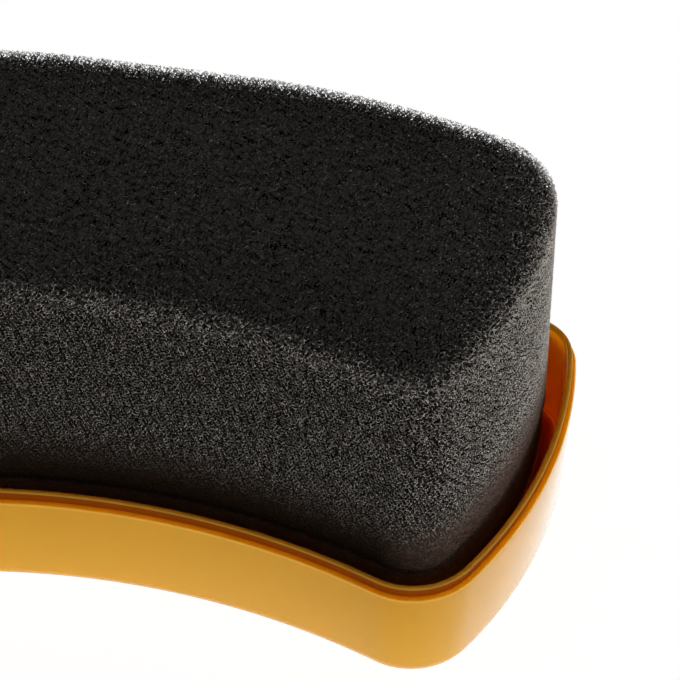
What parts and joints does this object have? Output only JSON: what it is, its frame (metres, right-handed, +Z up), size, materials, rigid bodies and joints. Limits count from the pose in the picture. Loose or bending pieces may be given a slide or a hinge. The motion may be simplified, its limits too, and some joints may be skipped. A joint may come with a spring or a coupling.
{
  "type": "shoe shine sponge",
  "caption": "Kidney-shaped shoe shine sponge: open-cell foam block standing in a low moulded tray that is held by hand, with a soaked felt and a feed plate under the foam.",
  "frame": {"origin": "on the surface the tray stands on, under the middle of the rim's outline", "axes": "+X along the tray, +Y towards its round long side, so the hollow long side faces -Y, +Z up through the foam"},
  "size_m": [0.112, 0.057, 0.0503],
  "materials": {
    "amber_plastic": "gloss",
    "black_foam": "matte",
    "polish_felt": "matte",
    "hot_melt_glue": "satin"
  },
  "bodies": {
    "root": {"base_tray": "amber_plastic", "reservoir_pad": "polish_felt", "feed_plate": "amber_plastic", "glue_bead": "hot_melt_glue", "foam_block": "black_foam"}
  },
  "joints": []
}
